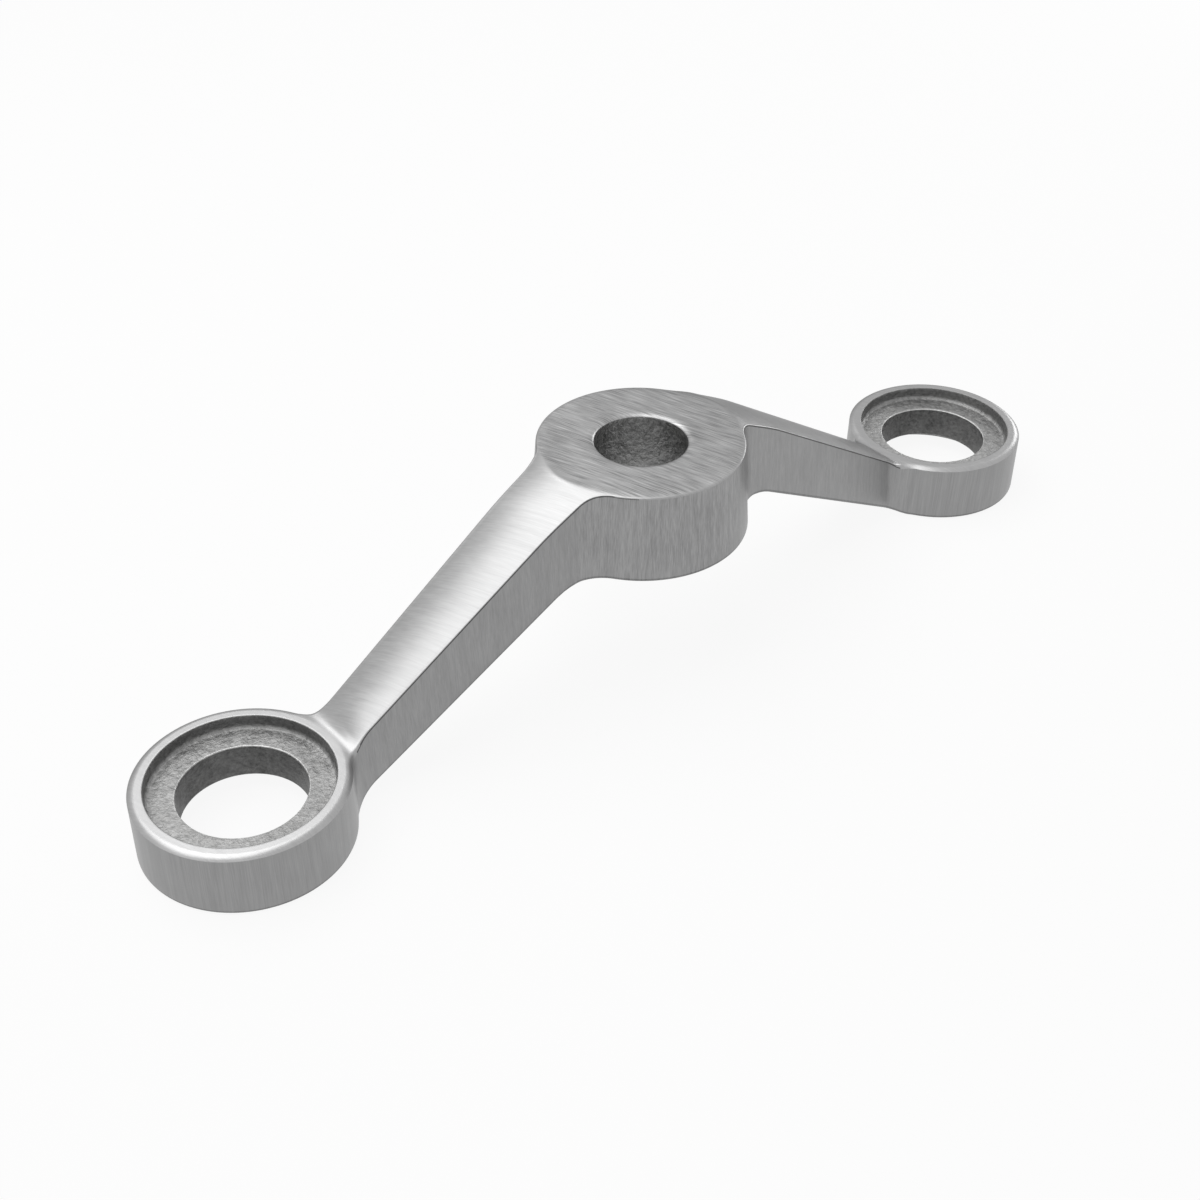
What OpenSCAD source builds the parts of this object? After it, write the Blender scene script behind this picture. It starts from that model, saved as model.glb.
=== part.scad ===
// Two-arm spider fitting for point-fixed glass: a raised centre hub, two sloping arms and an eye at
// each arm's end, cast in one piece. The hub's axis is Z, the arms lie along X, and Z = 0 is the
// underside of the eyes.

/* [Fitting] */
// Distance between the axes of the two eyes
eye_pitch = 250; // [200:5:300]
// Height of the hub's underside above the eyes' underside
hub_rise = 37; // [28:0.5:46]
// Draft of the hub's and the arms' walls, wider towards the underside
draft = 4.5; // [1:0.5:6]

/* [Hub] */
// Diameter of the hub at its top face
hub_d = 54.4; // [48:0.2:64]
// Height of the hub
hub_h = 24.4; // [22.4:0.2:32]
// Diameter of the bore for the fixing bolt
hub_bore_d = 24.4; // [16:0.2:32]
// Radius of the rounded lip at each end of the hub's bore
hub_lip_r = 0.8; // [0.3:0.1:1.5]

/* [Eyes] */
// Diameter of each eye at its rim
eye_d = 52.5; // [50:0.5:62]
// Height of each eye
eye_h = 17.6; // [15:0.2:22]
// Draft of an eye's wall
eye_draft = 0.5; // [0:0.5:4]
// Diameter of the washer seat sunk in both faces of an eye
seat_d = 45.2; // [36:0.2:46]
// Depth of the washer seat in an eye's top
top_seat_depth = 3.8; // [2:0.1:5]
// Depth of the washer seat in an eye's underside
low_seat_depth = 4.4; // [2:0.1:5]
// Radius in the corner between a seat's wall and its floor
seat_corner_r = 1.2; // [0.5:0.1:2]
// Diameter of the hole for the glass bolt
eye_bore_d = 31.4; // [20:0.2:34]
// Radius of the rounded edge at each end of that hole
eye_bore_lip_r = 0.3; // [0.1:0.1:1]
// Radius of the outer edge of the rim
rim_edge_r = 1.2; // [0.5:0.1:1.8]
// Radius of the inner edge of the rim
rim_lip_r = 0.2; // [0.1:0.1:0.6]

/* [Arms] */
// Width of an arm across its top edges, at the hub
arm_w_hub = 21.4; // [18:0.2:25]
// Width of an arm across its top edges, at the eye
arm_w_eye = 15.8; // [13:0.2:19]
// Depth of an arm at the hub, measured along Z
arm_depth_hub = 21; // [18:0.5:22]
// Depth of an arm at the eye, measured along Z
arm_depth_eye = 15.7; // [12:0.1:16]
// Height of an arm's crowned top above its edges
arm_crown = 1.2; // [0.4:0.1:2.5]
// How far the straight top edges stop short of the hub's and the eye's rims
arm_shoulder = 0.7; // [0:0.1:2]

/* [Fillets] */
// Radius between an arm's sides and the hub, seen from above
hub_fillet_r = 11; // [5:0.5:14]
// Radius between an arm's sides and an eye, seen from above
eye_fillet_r = 9; // [5:0.5:13]
// Radius between an arm's crowned top and an eye's rim
rim_fillet_r = 8; // [3:0.5:12]
// Radius between the hub's underside and an arm's underside
underside_fillet_r = 18; // [8:1:30]
// Radius of an arm's top edges
arm_edge_r = 0.6; // [0.3:0.1:1.2]
// Radius of the lower outer edges of hub, arms and eyes
lower_edge_r = 1; // [0.4:0.1:1.6]

/* [Hidden] */
$fn = 96;

reach = eye_pitch / 2;
hub_top = hub_rise + hub_h;
lean = tan(draft);
eye_lean = tan(eye_draft);
// An arm's flare sinks this far into the hub or the eye that it joins
bite = 0.08;
// An arm's top joins an eye this far below its rim, on the rim's rounded edge
rim_dip = 0.15;
// Stock above the hub's top that is faced off
facing = 2;
// Cutters run this far past the faces that they cut
past = 1;

// An arm's straight stretch lies between these two places along X
arm_start = hub_d / 2 + arm_shoulder;
arm_end = reach - eye_d / 2 - arm_shoulder;
arm_run = arm_end - arm_start;
top_fall = (hub_top - eye_h) / arm_run;
under_fall = top_fall + (arm_depth_eye - arm_depth_hub) / arm_run;
side_taper = (arm_w_eye - arm_w_hub) / 2 / arm_run;
// Slope of an arm's drafted side in a level section
side_slope = side_taper - top_fall * lean;
// The places along X where the top reaches the rim's level and the underside leaves the hub's level
rim_foot = arm_end + rim_dip / top_fall;
under_foot = arm_start + (hub_top - arm_depth_hub - hub_rise) / under_fall;
// The arm's underside ends this far above the eye's
under_gap = lower_edge_r / 2;

// Faces of the arm's loft
flare_steps = 16;
curve_steps = 6;
span_steps = 4;
crown_steps = 6;
wall_steps = 4;
edge_steps = 3;

function arc(centre, r, from, to, steps) =
    [for (i = [0:steps]) let (turn = from + (to - from) * i / steps) centre + r * [cos(turn), sin(turn)]];

function bend(a, corner, b, steps) =
    [for (i = [0:steps]) let (u = i / steps) a * (1 - u) ^ 2 + corner * 2 * u * (1 - u) + b * u ^ 2];

function spread(from, to, steps) = [for (i = [0:steps]) from + (to - from) * i / steps];

// Height of a slope above the level that it runs out into, at distance d up the slope from where the
// two meet, with a fillet of radius r between them
function run_out(d, fall, r) =
    let (angle = atan(fall), tangent = r * tan(angle / 2))
    d <= -tangent ? 0
        : d >= tangent * cos(angle) ? fall * d
        : r - sqrt(r ^ 2 - (d + tangent) ^ 2);

function edge_z(x) = eye_h - rim_dip + run_out(rim_foot - x, top_fall, rim_fillet_r);
function under_z(x) = max(under_gap, hub_rise - run_out(x - under_foot, under_fall, underside_fillet_r));
function crown(x) = arm_crown * min(1, max(0, 0.5 + (arm_end - x) / rim_fillet_r));

// Radii of the drafted walls, and an arm's straight half width where it would cross the hub's axis
function hub_r(z) = hub_d / 2 + (hub_top - z) * lean;
function eye_r(z) = eye_d / 2 + (eye_h - z) * eye_lean;
function half_w(z) = arm_w_hub / 2 - side_taper * arm_start + (hub_top + top_fall * arm_start - z) * lean;

// Centre of the fillet between a round wall of radius r and a straight side at a + b * x
function flare_centre(r, fillet, a, b) =
    let (sec = sqrt(1 + b ^ 2), out = a + fillet * sec,
         cx = (sqrt((sec * (r + fillet)) ^ 2 - out ^ 2) - out * b) / sec ^ 2)
    [cx, out + b * cx];

// Where that fillet leaves the straight side and where it meets the round wall
function flare_near(r, fillet, a, b) = flare_centre(r, fillet, a, b)[0] * r / (r + fillet);
function flare_far(r, fillet, a, b) = flare_centre(r, fillet, a, b)[0] + fillet * b / sqrt(1 + b ^ 2);

function flare(x, r, fillet, a, b) =
    let (c = flare_centre(r, fillet, a, b), near = c[0] * r / (r + fillet))
    x >= c[0] + fillet * b / sqrt(1 + b ^ 2) ? a + b * x
        : x >= near ? c[1] - sqrt(fillet ^ 2 - (x - c[0]) ^ 2)
        : c[1] * r / (r + fillet) - (near - x);

function side_y(x, z) =
    x < (arm_start + arm_end) / 2
        ? flare(x, hub_r(z) - bite, hub_fillet_r, half_w(z), side_slope)
        : flare(reach - x, eye_r(z) - bite, eye_fillet_r, half_w(z) + side_slope * reach, -side_slope);

// One side of an arm's cross-section, from the middle of the underside up to the middle of the crown
function half_section(x) =
    let (ze = edge_z(x), zu = under_z(x), w = side_y(x, ze), flat = w - arm_edge_r,
         zs = ze - arm_edge_r, zl = zu + lower_edge_r)
    concat(
        [[0, zu]],
        bend([side_y(x, zu) - lower_edge_r, zu], [side_y(x, zu), zu], [side_y(x, zl), zl], edge_steps),
        [for (i = [1:wall_steps - 1]) let (z = spread(zl, zs, wall_steps)[i]) [side_y(x, z), z]],
        bend([side_y(x, zs), zs], [w, ze], [flat, ze + crown(x) * (1 - (flat / w) ^ 2)], edge_steps),
        [for (i = [1:crown_steps]) let (y = flat * (1 - i / crown_steps)) [y, ze + crown(x) * (1 - (y / w) ^ 2)]]);

function section(x) =
    let (half = half_section(x), last = len(half) - 1)
    concat([for (p = half) [x, p[0], p[1]]], [for (i = [last - 1:-1:1]) [x, -half[i][0], half[i][1]]]);

// Stations run from inside the hub to inside the eye, close together along both flares
hub_flare_in = flare_near(hub_r(hub_top), hub_fillet_r, half_w(hub_top), side_slope);
hub_flare_out = flare_far(hub_r(hub_rise), hub_fillet_r, half_w(hub_rise), side_slope);
eye_flare_in = flare_near(eye_r(eye_h), eye_fillet_r, half_w(eye_h) + side_slope * reach, -side_slope);
eye_flare_out = flare_far(eye_r(0), eye_fillet_r, half_w(0) + side_slope * reach, -side_slope);
hub_end = hub_flare_in - hub_fillet_r / 2;
eye_end = reach - eye_flare_in + eye_fillet_r / 2;
curve_end = max(hub_flare_out + 1, under_foot + underside_fillet_r * sin(atan(under_fall)) / 2 + 1);
stations = concat(
    [hub_end],
    spread(hub_flare_in, hub_flare_out, flare_steps),
    [for (i = [1:curve_steps]) spread(hub_flare_out, curve_end, curve_steps)[i]],
    [for (i = [1:span_steps - 1]) spread(curve_end, reach - eye_flare_out, span_steps)[i]],
    spread(reach - eye_flare_out, reach - eye_flare_in, flare_steps),
    [eye_end]);

// An arm along +X, lofted through its stations
module arm() {
    rings = [for (x = stations) section(x)];
    n = len(rings[0]);
    last = len(rings) - 1;
    polyhedron(
        points = [for (ring = rings) each ring],
        faces = concat(
            [[for (i = [0:n - 1]) i]],
            [for (s = [0:last - 1], i = [0:n - 1]) let (j = (i + 1) % n)
                each [[s * n + i, (s + 1) * n + i, (s + 1) * n + j], [s * n + i, (s + 1) * n + j, s * n + j]]],
            [[for (i = [n:-1:1]) last * n + i % n]]));
}

// A round body with walls at a slant and rounded edges, on Z = 0, with radius r at its top
module boss(r, h, slant, top_edge, low_edge) {
    top_x = r + top_edge * tan(slant) - top_edge / cos(slant);
    low_x = r + (h - low_edge) * tan(slant) - low_edge / cos(slant);
    rotate_extrude()
        polygon(concat(
            [[0, 0]],
            arc([low_x, low_edge], low_edge, -90, slant, edge_steps * 2),
            arc([top_x, h - top_edge], top_edge, slant, 90, edge_steps * 2),
            [[0, h]]));
}

// Cutter for a hole along Z between two faces, with rounded lips
module hole(r, from, to, lip) {
    rotate_extrude()
        polygon(concat(
            [[0, from - past], [r + lip, from - past]],
            arc([r + lip, from + lip], lip, 270, 180, edge_steps * 2),
            arc([r + lip, to - lip], lip, 180, 90, edge_steps * 2),
            [[r + lip, to + past], [0, to + past]]));
}

// Cutter for a washer seat, with its floor on Z = 0 and its mouth upwards
module seat(depth) {
    r = seat_d / 2;
    rotate_extrude()
        polygon(concat(
            [[0, 0]],
            arc([r - seat_corner_r, seat_corner_r], seat_corner_r, -90, 0, edge_steps * 2),
            arc([r + rim_lip_r, depth - rim_lip_r], rim_lip_r, 180, 90, edge_steps),
            [[r + rim_lip_r, depth + past], [0, depth + past]]));
}

// An eye at the end of the arm along +X
module eye() {
    translate([reach, 0, 0]) boss(eye_d / 2, eye_h, eye_draft, rim_edge_r, lower_edge_r);
}

// What is cut out of that eye
module eye_cut() {
    translate([reach, 0, eye_h - top_seat_depth]) seat(top_seat_depth);
    translate([reach, 0, low_seat_depth]) mirror([0, 0, 1]) seat(low_seat_depth);
    translate([reach, 0, 0]) hole(eye_bore_d / 2, low_seat_depth, eye_h - top_seat_depth, eye_bore_lip_r);
}

module hub() {
    translate([0, 0, hub_rise])
        boss(hub_r(hub_top + facing), hub_h + facing, draft, lower_edge_r, lower_edge_r);
}

module spider_casting() {
    block = 2 * reach;
    color([0.66, 0.67, 0.68])
        difference() {
            union() {
                hub();
                for (side = [0, 1]) mirror([side, 0, 0]) {
                    arm();
                    eye();
                }
            }
            translate([-block / 2, -block / 2, hub_top]) cube([block, block, block]);
            hole(hub_bore_d / 2, hub_rise, hub_top, hub_lip_r);
            for (side = [0, 1]) mirror([side, 0, 0]) eye_cut();
        }
}

spider_casting();
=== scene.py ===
from math import atan, atan2, cos, hypot, pi, radians, sin, sqrt, tan

import bpy
from mathutils import Matrix, Vector


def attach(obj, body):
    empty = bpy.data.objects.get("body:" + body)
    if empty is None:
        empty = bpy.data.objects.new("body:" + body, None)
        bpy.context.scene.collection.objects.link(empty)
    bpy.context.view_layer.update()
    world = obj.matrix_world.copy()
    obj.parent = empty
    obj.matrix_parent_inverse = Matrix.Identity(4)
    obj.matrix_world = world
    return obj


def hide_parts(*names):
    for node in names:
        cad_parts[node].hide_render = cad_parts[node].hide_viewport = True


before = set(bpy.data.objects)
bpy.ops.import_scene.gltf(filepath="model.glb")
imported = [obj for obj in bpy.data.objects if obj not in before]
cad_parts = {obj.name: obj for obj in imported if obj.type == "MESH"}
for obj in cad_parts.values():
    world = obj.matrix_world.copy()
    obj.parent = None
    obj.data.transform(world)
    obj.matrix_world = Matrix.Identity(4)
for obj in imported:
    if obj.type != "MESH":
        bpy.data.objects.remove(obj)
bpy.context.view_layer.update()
print("frame loaded")

mm = 0.001


class Wire:  # a node's socket, so that shader maths is written as sums
    def __init__(self, tree, socket=None):
        self.tree = tree
        self.socket = socket

    def node(self, kind, settings=None, sockets=None, out=0):
        new = self.tree.nodes.new("ShaderNode" + kind)
        for key, value in (settings or {}).items():
            if key == "stops":  # a ramp's two stops, as (place, grey)
                for stop, (place, grey) in zip(new.color_ramp.elements, value):
                    stop.position = place
                    stop.color = (grey, grey, grey, 1)
            else:
                setattr(new, key, value)
        for key, value in (sockets or {}).items():
            if isinstance(value, Wire):
                self.tree.links.new(value.socket, new.inputs[key])
            else:
                new.inputs[key].default_value = value
        return Wire(self.tree, new.outputs[out])

    def math(self, operation, a, b=0.0, clamp=False):
        return self.node("Math", {"operation": operation, "use_clamp": clamp}, {0: a, 1: b})

    def __add__(self, other):
        return self.math("ADD", self, other)

    def __radd__(self, other):
        return self.math("ADD", other, self)

    def __sub__(self, other):
        return self.math("SUBTRACT", self, other)

    def __rsub__(self, other):
        return self.math("SUBTRACT", other, self)

    def __mul__(self, other):
        return self.math("MULTIPLY", self, other)

    def __rmul__(self, other):
        return self.math("MULTIPLY", other, self)

    def into(self, socket):
        self.tree.links.new(self.socket, socket)


def newFinish(name, fixed):  # fixed holds plain values for the shader's own sockets
    material = bpy.data.materials.new(name)
    material.use_nodes = True
    shader = material.node_tree.nodes["Principled BSDF"]
    for key, value in fixed.items():
        shader.inputs[key].default_value = value
    return material, shader, Wire(material.node_tree)


def objectPlace(wire, scale, turn=(0, 0, 0)):
    place = wire.node("TexCoord", out="Object")
    turned = wire.node("Mapping", {"vector_type": "POINT"}, {"Vector": place, "Rotation": turn})
    return wire.node("Mapping", {"vector_type": "POINT"}, {"Vector": turned, "Scale": scale})


def grain(wire, place, detail=3.0, rough=0.6):
    return wire.node("TexNoise", {"noise_dimensions": "3D"},
                     {"Vector": place, "Scale": 1.0, "Detail": detail, "Roughness": rough})


def ramp(wire, source, stops):  # black up to the first stop, white from the second
    return wire.node("ValToRGB", {"stops": ((stops[0], 0.0), (stops[1], 1.0))}, {0: source})


def fade(wire, source, start, end):  # 0 up to start, 1 from end
    return wire.node("MapRange", {"interpolation_type": "SMOOTHSTEP"},
                     {"Value": source, "From Min": start, "From Max": end})


def tint(wire, tone, look):
    factor, dark, light, result = 0, 6, 7, 2  # the Mix node's sockets for colours
    sockets = {factor: tone, dark: (*look["dark"], 1), light: (*look["light"], 1)}
    return wire.node("Mix", {"data_type": "RGBA"}, sockets, out=result)


# The tone's contrast is rimContrast up to rimEnds from an eye's axis, contrast from armStarts on, and
# hubContrast up to hubEnds from the hub's axis, fading out at hubFades. Lengths are in metres.
brushing = {
    "eyeAt": 0.125, "rimEnds": 0.0262, "armStarts": 0.0285,
    "lineStops": (0.30, 0.72), "bandStops": (0.32, 0.70), "hairStops": (0.60, 0.75),
    "lines": 0.40, "bands": 0.22, "clouds": 0.35, "hairs": 0.14, "middleTone": 0.48,
    "hairsFiner": 2.2, "cloudScale": 70, "lineRough": 0.07, "hairRough": -0.05,
    "bump": 0.6, "bandLift": 0.6,
}
topBrush = {  # lines across the arms, turned a little from Y
    **brushing, "dark": (0.185, 0.185, 0.186), "light": (0.505, 0.505, 0.506), "rough": 0.32,
    "turn": radians(-17), "fine": (4000, 130, 700), "broad": (1500, 55, 260), "lift": 0.0000035,
    "contrast": 0.4, "hubContrast": 1.8, "rimContrast": 0.3, "rimPaintedHighlight": 0.11, "edgeTint": 0.45,
    "hubEnds": 0.0262, "hubFades": 0.0270,
}
shadedWallBrush = {  # lines down the walls; their tone, darker than the tops', is painted shade on the walls and undersides
    **brushing, "dark": (0.232, 0.232, 0.233), "light": (0.368, 0.368, 0.369), "rough": 0.36,
    "turn": 0.0, "fine": (3600, 3600, 95), "broad": (800, 800, 34), "lift": 0.000004,
    "contrast": 0.95, "hubContrast": 1.75, "rimContrast": 0.95, "rimPaintedHighlight": 0.0, "edgeTint": 1.0,
    "hubEnds": 0.027, "hubFades": 0.038,
}
# the lower edges, darker than the walls: painted contact shade where the casting meets the floor
shadedLowEdgeBrush = {**shadedWallBrush, "dark": (0.15, 0.15, 0.151), "light": (0.27, 0.27, 0.271)}
# a dark line on the arms' upper edges: a burr, darkened further as painted shade
burrAndShadeEdgeBrush = {**shadedWallBrush, "dark": (0.07, 0.07, 0.07), "light": (0.13, 0.13, 0.13)}


def brushedFinish(name, look):
    edgeTint = (look["edgeTint"], look["edgeTint"], look["edgeTint"], 1)
    material, shader, wire = newFinish(name, {"Metallic": 1.0, "Specular Tint": edgeTint})
    turn = (0, 0, look["turn"])
    hairScale = tuple(look["hairsFiner"] * scale for scale in look["fine"])
    fine = grain(wire, objectPlace(wire, look["fine"], turn), detail=2.0, rough=0.55)
    broad = grain(wire, objectPlace(wire, look["broad"], turn), detail=2.0, rough=0.5)
    scratches = grain(wire, objectPlace(wire, hairScale, turn), detail=1.0)
    clouds = grain(wire, objectPlace(wire, (look["cloudScale"],) * 3))
    lines = ramp(wire, fine, look["lineStops"])
    bands = ramp(wire, broad, look["bandStops"])
    hairs = ramp(wire, scratches, look["hairStops"])
    tone = (lines * look["lines"] + bands * look["bands"]
            + clouds * look["clouds"] + hairs * look["hairs"])

    place = wire.node("TexCoord", out="Object")
    x = wire.node("SeparateXYZ", sockets={0: place}, out="X")
    y = wire.node("SeparateXYZ", sockets={0: place}, out="Y")
    fromEyeX = wire.math("ABSOLUTE", x) - look["eyeAt"]
    fromEye = wire.math("SQRT", fromEyeX * fromEyeX + y * y)
    fromHub = wire.math("SQRT", x * x + y * y)
    offRim = fade(wire, fromEye, look["rimEnds"], look["armStarts"])
    offHub = fade(wire, fromHub, look["hubEnds"], look["hubFades"])
    contrast = (offRim * (look["contrast"] - look["rimContrast"]) + look["rimContrast"]
                + (1 - offHub) * (look["hubContrast"] - look["contrast"]))
    # round the eyes the tone is raised: a painted highlight on the rims
    tone = (tone - look["middleTone"]) * contrast + (1 - offRim) * look["rimPaintedHighlight"] + look["middleTone"]

    tint(wire, tone, look).into(shader.inputs["Base Color"])
    rough = look["rough"] + lines * look["lineRough"] + hairs * look["hairRough"]
    rough.into(shader.inputs["Roughness"])
    height = fine + broad * look["bandLift"]
    bump = wire.node("Bump", sockets={"Strength": look["bump"], "Distance": look["lift"], "Height": height})
    bump.into(shader.inputs["Normal"])
    return material


castLook = {  # pitted, lumpy and stained, as it left the mould
    "pitScale": 900, "lumpScale": 300, "stainScale": 60, "pitStops": (0.30, 0.68), "stainStops": (0.34, 0.66),
    "pits": 0.5, "stains": 0.3, "lumps": 0.25, "pitRough": 0.12, "bump": 0.8, "lumpLift": 1.4,
    "dark": (0.13, 0.13, 0.129), "light": (0.40, 0.40, 0.397), "rough": 0.42, "lift": 0.00036,
}
# the seat's wall, darker than its floor: painted shade in the recess
shadedSeatWallLook = {**castLook, "light": (0.30, 0.30, 0.298)}
# the eye bore's upper lip, lighter than the seat: a painted highlight
seatEdgeHighlightLook = {**castLook, "dark": (0.3, 0.3, 0.298), "light": (0.55, 0.55, 0.546), "rough": 0.36}
# the eye's bore, darker than the other cast faces: painted shade inside the hole
shadedEyeBoreLook = {**castLook, "dark": (0.03, 0.03, 0.0295), "light": (0.21, 0.21, 0.208)}
hubBoreLook = {**castLook, "dark": (0.12, 0.12, 0.119), "rough": 0.34, "lift": 0.00045}


def castFinish(name, look):
    material, shader, wire = newFinish(name, {"Metallic": 1.0})
    pitGrain = grain(wire, objectPlace(wire, (look["pitScale"],) * 3), detail=4.0, rough=0.62)
    lumps = grain(wire, objectPlace(wire, (look["lumpScale"],) * 3))
    stainGrain = grain(wire, objectPlace(wire, (look["stainScale"],) * 3), rough=0.65)
    pits = ramp(wire, pitGrain, look["pitStops"])
    stains = ramp(wire, stainGrain, look["stainStops"])
    tone = pits * look["pits"] + stains * look["stains"] + lumps * look["lumps"]
    tint(wire, tone, look).into(shader.inputs["Base Color"])
    (look["rough"] + pits * look["pitRough"]).into(shader.inputs["Roughness"])
    height = pitGrain + lumps * look["lumpLift"]
    bump = wire.node("Bump", sockets={"Strength": look["bump"], "Distance": look["lift"], "Height": height})
    bump.into(shader.inputs["Normal"])
    return material


brushedTops = brushedFinish("brushedTops", topBrush)
brushedShadedWalls = brushedFinish("brushedShadedWalls", shadedWallBrush)
shadedLowEdges = brushedFinish("shadedLowEdges", shadedLowEdgeBrush)
burrAndShadeEdges = brushedFinish("burrAndShadeEdges", burrAndShadeEdgeBrush)
castSeat = castFinish("castSeat", castLook)
seatWall = castFinish("seatWall", shadedSeatWallLook)
shadedCastBore = castFinish("shadedCastBore", shadedEyeBoreLook)
hubBore = castFinish("hubBore", hubBoreLook)
seatEdgeHighlight = castFinish("seatEdgeHighlight", seatEdgeHighlightLook)
print("finishes made")

# The casting is made as one quarter, which is mirrored both ways. Its sizes are in millimetres.
casting = {
    "reach": 125.0, "hubRise": 37.0, "hubHigh": 24.4, "draft": 4.5,
    "hubR": 27.2, "hubEdge": 0.5, "boreR": 12.2, "boreLip": 2.0, "lipShare": 0.35, "lowBoreLip": 0.8,
    "eyeR": 26.25, "eyeHigh": 17.6, "eyeDraft": 0.5, "rimEdge": 1.8, "rimBreak": 0.5, "rimLip": 0.2,
    "seatR": 22.6, "topSeat": 3.8, "lowSeat": 4.4, "seatCorner": 1.2, "eyeBoreR": 15.7, "eyeBoreLip": 0.3,
    "wideAtHub": 21.4, "wideAtEye": 15.8, "deepAtHub": 21.0, "deepAtEye": 15.7,
    "crown": 1.2, "crownAtHub": 0.12, "shoulder": 0.7, "armEdge": 0.6, "lowEdge": 1.0, "lowEdgeTurn": 0.9,
    "hubFillet": 11.0, "eyeFillet": 9.0, "rimFillet": 8.0, "rimDip": 0.5, "underFillet": 18.0,
    "leastRise": 0.5, "underSoft": 0.3, "creaseSoft": 0.5, "creaseFade": 1.5,
    "valleyRun": 3.0, "facedRun": 15.0,
}
steps = {  # faces along the outline, across the arm and the edges, and along the profiles of the holes
    "hubArc": 26, "hubFillet": 18, "side": 30, "eyeFillet": 20, "eyeArc": 48,
    "across": 12, "edge": 5, "wall": 8, "armFrom": 4, "armTo": 3,
    "boreLip": 10, "bore": 10, "lowBoreLip": 6, "rimLip": 3, "seatWall": 3, "cornerWall": 5, "cornerFloor": 2,
    "lowCorner": 6, "seatFloor": 6, "eyeBoreLip": 4, "eyeBore": 6,
}

c = casting
hubTop = c["hubRise"] + c["hubHigh"]
lean = tan(radians(c["draft"]))
eyeLean = tan(radians(c["eyeDraft"]))
armStart = c["hubR"] + c["shoulder"]
armEnd = c["reach"] - c["eyeR"] - c["shoulder"]
armRun = armEnd - armStart
topFall = (hubTop - c["eyeHigh"]) / armRun
underFall = topFall + (c["deepAtEye"] - c["deepAtHub"]) / armRun
taper = (c["wideAtEye"] - c["wideAtHub"]) / 2 / armRun
slope = taper - topFall * lean  # of a side in a level section
rimFoot = armEnd + c["rimDip"] / topFall
underFoot = armStart + (hubTop - c["deepAtHub"] - c["hubRise"]) / underFall


def ease(u):
    u = min(1, max(0, u))
    return u * u * (3 - 2 * u)


def softMin(a, b, reach):  # the smaller of two, rounded where they are within reach of each other
    near = max(reach - abs(a - b), 0) / reach
    return min(a, b) - near * near * reach / 4


def runOut(d, fall, r):  # level up to 0, then rising by fall, with a fillet of radius r between
    angle = atan(fall)
    tangent = r * tan(angle / 2)
    if d <= -tangent:
        return 0.0
    if d >= tangent * cos(angle):
        return fall * d
    return r - sqrt(r * r - (d + tangent) ** 2)


def halfWidth(z):  # of the arm without its flares, at the hub's axis
    return c["wideAtHub"] / 2 - taper * armStart + (hubTop + topFall * armStart - z) * lean


def filletCentre(r, fillet, a, b):  # touching a circle of radius r and the line y = a + b x
    sec = sqrt(1 + b * b)
    out = a + fillet * sec
    x = (sqrt((sec * (r + fillet)) ** 2 - out * out) - out * b) / sec ** 2
    return x, out + b * x


def outline(part, s, z, inset=0.0):  # a point of the plan outline at a level, or inside it by inset
    a = halfWidth(z)
    hubR = c["hubR"] + (hubTop - z) * lean
    eyeR = c["eyeR"] + (c["eyeHigh"] - z) * eyeLean
    hx, hy = filletCentre(hubR, c["hubFillet"], a, slope)
    ex, ey = filletCentre(eyeR, c["eyeFillet"], a + slope * c["reach"], -slope)
    hubTurn = atan2(hy, hx)
    eyeTurn = atan2(ey, ex)
    downHub = atan2(-1, slope)
    downEye = atan2(-1, -slope)
    hubR -= inset
    eyeR -= inset
    hubF = c["hubFillet"] + inset
    eyeF = c["eyeFillet"] + inset
    if part == "hubArc":
        turn = pi / 2 + (hubTurn - pi / 2) * s
        return hubR * cos(turn), hubR * sin(turn)
    if part == "hubFillet":
        turn = hubTurn - pi + (downHub - hubTurn + pi) * s
        return hx + hubF * cos(turn), hy + hubF * sin(turn)
    if part == "side":
        x0, y0 = hx + hubF * cos(downHub), hy + hubF * sin(downHub)
        x1, y1 = c["reach"] - ex - eyeF * cos(downEye), ey + eyeF * sin(downEye)
        return x0 + (x1 - x0) * s, y0 + (y1 - y0) * s
    if part == "eyeFillet":
        turn = downEye + (eyeTurn - pi - downEye) * s
        return c["reach"] - ex - eyeF * cos(turn), ey + eyeF * sin(turn)
    turn = eyeTurn + (pi - eyeTurn) * s
    return c["reach"] - eyeR * cos(turn), eyeR * sin(turn)


def edgeHeight(x):  # of the arm's upper edge
    return c["eyeHigh"] - c["rimDip"] + runOut(rimFoot - x, topFall, c["rimFillet"])


def fullWidth(x):  # half width of the arm with its flares, at the level of its upper edge
    z = edgeHeight(x)
    a = halfWidth(z)
    straight = a + slope * x
    if x < (armStart + armEnd) / 2:
        r = c["hubR"] + (hubTop - z) * lean
        fx, fy = filletCentre(r, c["hubFillet"], a, slope)
        if x >= fx + c["hubFillet"] * slope / sqrt(1 + slope ** 2):
            return straight
        u = max(x, fx * r / (r + c["hubFillet"]))
        return fy - sqrt(c["hubFillet"] ** 2 - (u - fx) ** 2)
    r = c["eyeR"] + (c["eyeHigh"] - z) * eyeLean
    fx, fy = filletCentre(r, c["eyeFillet"], a + slope * c["reach"], -slope)
    u = c["reach"] - x
    if u >= fx - c["eyeFillet"] * slope / sqrt(1 + slope ** 2):
        return straight
    u = max(u, fx * r / (r + c["eyeFillet"]))
    return fy - sqrt(c["eyeFillet"] ** 2 - (u - fx) ** 2)


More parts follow.
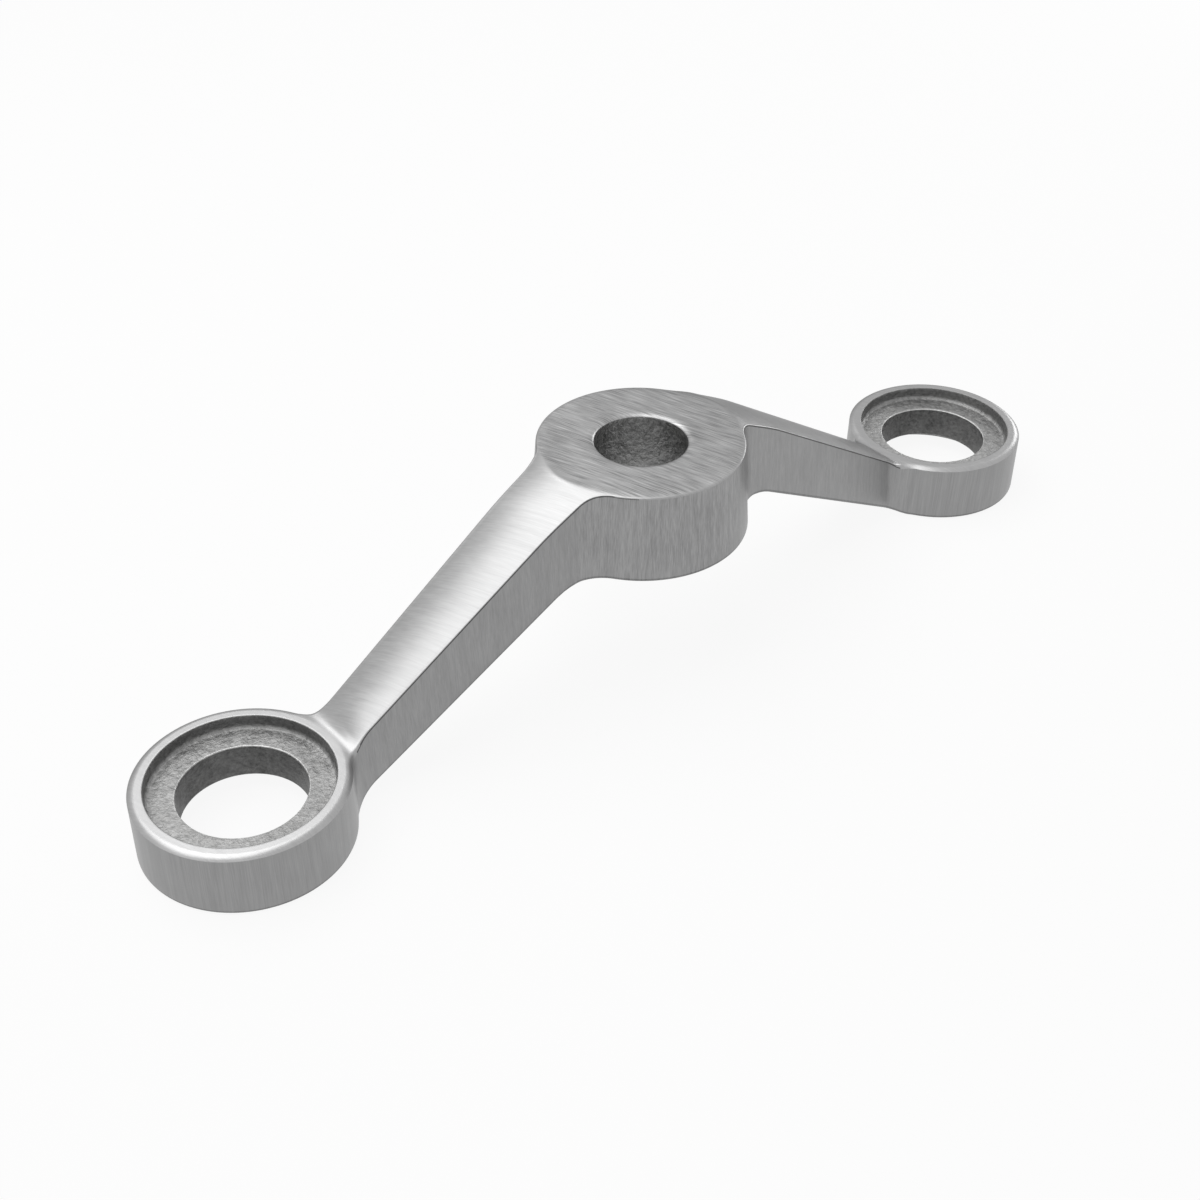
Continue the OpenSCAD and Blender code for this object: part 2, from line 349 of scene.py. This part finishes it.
def topHeight(x, y):
    fromEye = hypot(x - c["reach"], y)
    offHub = ease((x - armStart) / c["facedRun"])  # the hub's faced top ends on a circle
    offEye = min(1, max(0, 0.5 + (armEnd - x) / c["rimFillet"]))
    bulge = c["crown"] * offEye * (c["crownAtHub"] + (1 - c["crownAtHub"]) * offHub)
    along = x + (max(hypot(x, y), x) - x) * (1 - offHub)
    side = min(1, abs(y) / fullWidth(x)) ** 2
    arm = edgeHeight(along) + bulge * (1 - side)
    height = softMin(hubTop, arm, c["creaseSoft"] + c["creaseFade"] * side)
    down = ease((fromEye - c["eyeR"] + c["rimEdge"]) / c["valleyRun"])  # from the rim's flat to the arm
    return c["eyeHigh"] * (1 - down) + height * down


def lowHeight(x, y):
    edge = c["lowEdge"]
    over = hypot(x - c["reach"], y) - (c["eyeR"] + c["eyeHigh"] * eyeLean - edge)
    if over <= 0:  # the eye's flat underside
        return 0.0
    arm = max(c["leastRise"], c["hubRise"] - runOut(x - underFoot, underFall, c["underFillet"]))
    turn = c["lowEdgeTurn"]  # the eye's rounded edge goes on as a straight slope from here
    level = sqrt(1 - turn ** 2)
    if over < edge * turn:
        eye = edge - sqrt(edge ** 2 - over ** 2)
    else:
        eye = edge * (1 - level) + (over - edge * turn) * turn / level
    return softMin(arm, eye, c["underSoft"])


def edgeSize(part, s):  # radius of the upper edge
    sizes = {"hubArc": c["hubEdge"], "side": c["armEdge"], "eyeArc": c["rimEdge"],
             "hubFillet": c["hubEdge"] + (c["armEdge"] - c["hubEdge"]) * ease(s),
             "eyeFillet": c["armEdge"] + (c["rimEdge"] - c["armEdge"]) * ease(s)}
    return sizes[part]


outlineParts = ("hubArc", "hubFillet", "side", "eyeFillet", "eyeArc")
stations = [("hubArc", 0.0)]
for part in outlineParts:
    stations += [(part, i / steps[part]) for i in range(1, steps[part] + 1)]
lastStation = len(stations) - 1
sideFrom = steps["hubArc"] + steps["hubFillet"]
sideTo = sideFrom + steps["side"]
hubCut = sideFrom + steps["armFrom"]  # stations between which the arm has faces of its own
eyeCut = sideTo - steps["armTo"]


topGuess, lowGuess = 40, 20
settleRounds = 6


def settled(part, s, inset, height, z):  # where the outline meets a face, from a first guess at z
    for _ in range(settleRounds):
        x, y = outline(part, s, z, inset)
        z = height(x, y)
    return x, y, z


topLine = [settled(part, s, edgeSize(part, s), topHeight, topGuess) for part, s in stations]
lowLine = [settled(part, s, c["lowEdge"], lowHeight, lowGuess) for part, s in stations]


def bend(a, corner, b, u):
    return tuple(p * (1 - u) ** 2 + q * 2 * u * (1 - u) + r * u * u for p, q, r in zip(a, corner, b))


def patch(columns, rows, shape, finish):  # a grid, shaped over its columns and rows
    bpy.ops.object.select_all(action="DESELECT")
    bpy.ops.mesh.primitive_grid_add(x_subdivisions=columns, y_subdivisions=rows, size=2)
    grid = bpy.context.object
    for v in grid.data.vertices:
        i = round((v.co.x + 1) / 2 * columns)
        j = round((v.co.y + 1) / 2 * rows)
        v.co = Vector(shape(i, j)) * mm
    grid.data.materials.append(finish)
    return grid


def wallShape(i, j):  # down the wall at a station: upper edge, wall, lower edge
    part, s = stations[i]
    e, w, top, low = steps["edge"], steps["wall"], topLine[i], lowLine[i]
    size = edgeSize(part, s)
    broken = c["rimBreak"] * max(0, size - c["armEdge"]) / (c["rimEdge"] - c["armEdge"])
    high = top[2] - size * (1 - broken)  # the rim's rounding breaks off early, on a crisp line
    deep = low[2] + c["lowEdge"]
    if j <= e:
        corner = (*outline(part, s, top[2], size * broken), top[2])
        return bend(top, corner, (*outline(part, s, high), high), j / e)
    if j >= e + w:
        corner = (*outline(part, s, low[2]), low[2])
        return bend((*outline(part, s, deep), deep), corner, low, (j - e - w) / e)
    z = high + (deep - high) * (j - e) / w
    return (*outline(part, s, z), z)


# Bands of faces round an axis, as (start radius, faces across), closer together where the form turns.
topHubBands = ((c["boreR"] + c["boreLip"], 12), (c["hubR"] - 0.4, 14), (c["hubR"] + 3.0, 6))
lowHubBands = ((c["boreR"] + c["lowBoreLip"], 5), (c["hubR"] + 1.6, 14), (c["hubR"] + 11.7, 2))
topRimBands = ((c["seatR"] + c["rimLip"], 4), (c["eyeR"] - 2.05, 14), (c["eyeR"] + 2.95, 6))
lowRimBands = ((c["seatR"] + c["rimLip"], 4), (c["eyeR"] - 1.05, 8), (c["eyeR"] + 0.75, 4))
leastBand = 0.12


def graded(bands, outer):  # radii through the bands, out to the outline
    radii = [bands[0][0]]
    for k, (_, count) in enumerate(bands):
        start = radii[-1]
        bandsLeft = len(bands) - 1 - k
        end = min(bands[k + 1][0], outer - leastBand * bandsLeft) if bandsLeft else outer
        radii += [start + (end - start) * n / count for n in range(1, count + 1)]
    return radii


def roundFace(edgeLine, cut, axis, height, bands):  # from a hole out to the outline and to the arm's face
    across = steps["across"]
    cutX, cutY = edgeLine[cut][:2]
    if axis == 0:
        rim = edgeLine[:cut + 1] + [(cutX, cutY * (1 - k / across)) for k in range(1, across + 1)]
    else:
        rim = [(cutX, cutY * k / across) for k in range(across)] + edgeLine[cut:]
    turns = [atan2(p[1], p[0] - axis) for p in rim]
    radii = [graded(bands, hypot(p[0] - axis, p[1])) for p in rim]
    last = len(radii[0]) - 1

    def shape(i, j):
        if j == last:
            x, y = rim[i][:2]
        else:
            x, y = axis + radii[i][j] * cos(turns[i]), radii[i][j] * sin(turns[i])
        return x, y, height(x, y)

    return len(rim) - 1, last, shape, turns


def armFace(edgeLine, height):
    across = steps["across"]

    def shape(i, j):
        x, y = edgeLine[hubCut + i][0], edgeLine[hubCut + i][1] * (1 - j / across)
        return x, y, height(x, y)

    return eyeCut - hubCut, across, shape


def turned(profile, axis, topTurns, lowTurns):  # a profile of (radius, height, share) swung round an axis
    def shape(i, j):
        radius, z, share = profile[j]  # the share tells how far the turn has gone over to the lower face's
        turn = topTurns[i] + (lowTurns[i] - topTurns[i]) * share
        return axis + radius * cos(turn), radius * sin(turn), z

    return len(topTurns) - 1, len(profile) - 1, shape


def arc(x, z, r, start, end, count, share, squash=1.0):
    turns = [radians(start + (end - start) * k / count) for k in range(count + 1)]
    return [(x + r * cos(t), z + r * squash * sin(t), share) for t in turns]


def line(a, b, count):  # both ends included
    return [tuple(p + (q - p) * k / count for p, q in zip(a, b)) for k in range(count + 1)]


cols, rows, shape, hubTurns = roundFace(topLine, hubCut, 0, topHeight, topHubBands)
quarter = [patch(cols, rows, shape, brushedTops)]
cols, rows, shape, lowHubTurns = roundFace(lowLine, hubCut, 0, lowHeight, lowHubBands)
quarter.append(patch(cols, rows, shape, brushedShadedWalls))
cols, rows, shape, eyeTurns = roundFace(topLine, eyeCut, c["reach"], topHeight, topRimBands)
quarter.append(patch(cols, rows, shape, brushedTops))
cols, rows, shape, lowEyeTurns = roundFace(lowLine, eyeCut, c["reach"], lowHeight, lowRimBands)
quarter.append(patch(cols, rows, shape, brushedShadedWalls))
quarter.append(patch(*armFace(topLine, topHeight), brushedTops))
quarter.append(patch(*armFace(lowLine, lowHeight), brushedShadedWalls))

edgeRows, wallRows = steps["edge"], steps["wall"]
darkEdge = {"before": 6, "past": 7, "fadeOut": 3}  # in stations, from the hub's arc and from the side's end; the dark line along the upper edge is a burr and painted shade
darkFrom = steps["hubArc"] - darkEdge["before"]
darkTo = sideTo + darkEdge["past"]
edgeRuns = (  # first and last station, rows of the upper edge that are dark with a burr and painted shade
    (0, darkFrom, 0), (darkFrom, steps["hubArc"], 1), (steps["hubArc"], darkTo, 2),
    (darkTo, darkTo + darkEdge["fadeOut"], 1), (darkTo + darkEdge["fadeOut"], lastStation, 0),
)
for start, end, dark in edgeRuns:
    pale = edgeRows - dark
    quarter.append(patch(end - start, pale, lambda i, j: wallShape(i + start, j), brushedTops))
    if dark:
        quarter.append(patch(end - start, dark, lambda i, j: wallShape(i + start, j + pale), burrAndShadeEdges))
quarter.append(patch(lastStation, wallRows, lambda i, j: wallShape(i, j + edgeRows), brushedShadedWalls))
# the lower edge strip takes painted contact shade
quarter.append(patch(lastStation, edgeRows, lambda i, j: wallShape(i, j + edgeRows + wallRows), shadedLowEdges))
print("faces and walls made")

bore, lip, lowLip = c["boreR"], c["boreLip"], c["lowBoreLip"]
lipFoot = hubTop - lip * c["lipShare"]  # the upper lip is wider than it is deep
boreFoot = c["hubRise"] + lowLip
hubPieces = (
    (arc(bore + lip, lipFoot, lip, 90, 180, steps["boreLip"], 0, c["lipShare"]), brushedTops),
    (line((bore, lipFoot, 0), (bore, boreFoot, 1), steps["bore"]), hubBore),
    (arc(bore + lowLip, boreFoot, lowLip, 180, 270, steps["lowBoreLip"], 1), brushedShadedWalls),
)
for profile, finish in hubPieces:
    quarter.append(patch(*turned(profile, 0, hubTurns, lowHubTurns), finish))

seat, lip, corner, hole, holeLip = c["seatR"], c["rimLip"], c["seatCorner"], c["eyeBoreR"], c["eyeBoreLip"]
floorTop = c["eyeHigh"] - c["topSeat"]
floorLow = c["lowSeat"]
wallTop = c["eyeHigh"] - lip
cornerIn = seat - corner
holeOut = hole + holeLip
finishTurn = -60  # degrees round the corner of the seat, where the wall's finish gives way to the floor's
seatProfile = (
    arc(seat + lip, wallTop, lip, 90, 180, steps["rimLip"], 0)
    + line((seat, wallTop, 0), (seat, floorTop + corner, 0), steps["seatWall"])[1:-1]
    + arc(cornerIn, floorTop + corner, corner, 0, finishTurn, steps["cornerWall"], 0))
floorProfile = (
    arc(cornerIn, floorTop + corner, corner, finishTurn, -90, steps["cornerFloor"], 0)
    + line((cornerIn, floorTop, 0), (holeOut, floorTop, 0), steps["seatFloor"])[1:])
lipProfile = arc(holeOut, floorTop - holeLip, holeLip, 90, 180, steps["eyeBoreLip"], 0)
holeProfile = line((hole, floorTop - holeLip, 0), (hole, floorLow + holeLip, 1), steps["eyeBore"])
lowFloorProfile = (
    arc(holeOut, floorLow + holeLip, holeLip, 180, 270, steps["eyeBoreLip"], 1)
    + line((holeOut, floorLow, 1), (cornerIn, floorLow, 1), steps["seatFloor"])[1:-1]
    + arc(cornerIn, floorLow - corner, corner, 90, 0, steps["lowCorner"], 1))
lowSeatProfile = (
    line((seat, floorLow - corner, 1), (seat, lip, 1), steps["seatWall"])[:-1]
    + arc(seat + lip, lip, lip, 180, 270, steps["rimLip"], 1))
eyePieces = (
    (seatProfile, seatWall), (floorProfile, castSeat), (lipProfile, seatEdgeHighlight),
    (holeProfile, shadedCastBore), (lowFloorProfile, castSeat), (lowSeatProfile, seatWall),
)
for profile, finish in eyePieces:
    quarter.append(patch(*turned(profile, c["reach"], eyeTurns, lowEyeTurns), finish))
print("bore and seats made")

mergeWithin = 0.002 * mm
smoothUnder = radians(40)
bpy.ops.object.select_all(action="DESELECT")
for piece in quarter:
    piece.select_set(True)
bpy.context.view_layer.objects.active = quarter[0]
bpy.ops.object.join()
spider = bpy.context.object
spider.name = "spiderCasting"
spider.data.name = "spiderCasting"
bpy.ops.object.mode_set(mode="EDIT")
bpy.ops.mesh.select_all(action="SELECT")
bpy.ops.mesh.remove_doubles(threshold=mergeWithin)
bpy.ops.object.mode_set(mode="OBJECT")
mirror = spider.modifiers.new("bothWays", "MIRROR")
mirror.use_axis = (True, True, False)
mirror.merge_threshold = mergeWithin
bpy.ops.object.modifier_apply(modifier=mirror.name)
bpy.ops.object.mode_set(mode="EDIT")
bpy.ops.mesh.select_all(action="SELECT")
bpy.ops.mesh.remove_doubles(threshold=mergeWithin)
bpy.ops.mesh.normals_make_consistent(inside=False)
bpy.ops.object.mode_set(mode="OBJECT")
bpy.ops.object.shade_smooth_by_angle(angle=smoothUnder)
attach(spider, "root")
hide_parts("spider_casting")
print("casting joined", len(spider.data.polygons), "faces")


def seenDirectly(wire, clamp=False):  # 1 for the camera and for what mirrors and glass show it
    cameraRay = wire.node("LightPath", out="Is Camera Ray")
    glossyRay = wire.node("LightPath", out="Is Glossy Ray")
    throughRay = wire.node("LightPath", out="Is Transmission Ray")
    return wire.math("ADD", cameraRay + glossyRay, throughRay, clamp=clamp)


ground = {"size": 8, "level": -0.0003, "colour": (0.94, 0.94, 0.94, 1), "rough": 0.9, "shine": 0.1,
          "white": 0.91}  # the share of plain white that the camera sees, the rest takes the shadow
bpy.ops.object.select_all(action="DESELECT")
bpy.ops.mesh.primitive_plane_add(size=ground["size"], location=(0, 0, 0))
floor = bpy.context.object
floor.name = "floor"
for v in floor.data.vertices:
    v.co.z = ground["level"]
paleFloor, floorShader, wire = newFinish("paleFloor", {
    "Base Color": ground["colour"], "Roughness": ground["rough"], "Specular IOR Level": ground["shine"]})
white = wire.node("Emission", sockets={"Color": (1, 1, 1, 1), "Strength": 1.0})
plain = Wire(wire.tree, floorShader.outputs[0])
mixed = wire.node("MixShader", sockets={0: seenDirectly(wire) * ground["white"], 1: plain, 2: white})
mixed.into(paleFloor.node_tree.nodes["Material Output"].inputs["Surface"])
floor.data.materials.append(paleFloor)

studio = {
    "worldLevel": 0.3, "middle": (0, 0, 0.03),
    "lamps": (  # name, direction from the middle, distance, width, height, strength
        ("topSoftbox", (-0.28, 0.28, 1.0), 0.95, 1.0, 0.85, 5.6),
        ("backSoftbox", (0.22, 0.80, 1.0), 1.1, 0.45, 0.3, 0.8),
        ("sideSoftbox", (0.97, 0.20, 0.24), 1.0, 0.3, 0.4, 1.5),
    ),
}
world = bpy.data.worlds.new("studioWorld")
bpy.context.scene.world = world
world.use_nodes = True
wire = Wire(world.node_tree)
backdrop = world.node_tree.nodes["Background"]
backdrop.inputs["Color"].default_value = (1, 1, 1, 1)
strength = seenDirectly(wire, clamp=True) * (1 - studio["worldLevel"]) + studio["worldLevel"]
strength.into(backdrop.inputs["Strength"])

middle = Vector(studio["middle"])
for name, way, distance, width, height, power in studio["lamps"]:
    bpy.ops.object.light_add(type="AREA", location=middle + Vector(way).normalized() * distance)
    lamp = bpy.context.object
    lamp.name = name
    lamp.data.shape = "RECTANGLE"
    lamp.data.size = width
    lamp.data.size_y = height
    lamp.data.energy = power
    lamp.rotation_euler = (middle - lamp.location).to_track_quat("-Z", "Y").to_euler()

view = {"place": (-0.25453, -0.27302, 0.29099), "lens": 50.69, "sensor": 36,
        "right": (0.7554, -0.6551, 0.0123), "up": (0.3874, 0.4617, 0.7979)}
right = Vector(view["right"]).normalized()
up = Vector(view["up"])
up = (up - right * up.dot(right)).normalized()  # square to the right
back = right.cross(up)
bpy.ops.object.camera_add(location=view["place"])
camera = bpy.context.object
camera.rotation_euler = Matrix((right, up, back)).transposed().to_euler()
camera.data.lens = view["lens"]
camera.data.sensor_width = view["sensor"]
camera.data.clip_start = 0.01
bpy.context.scene.camera = camera
bpy.context.scene.view_settings.view_transform = "Standard"
print("studio set")
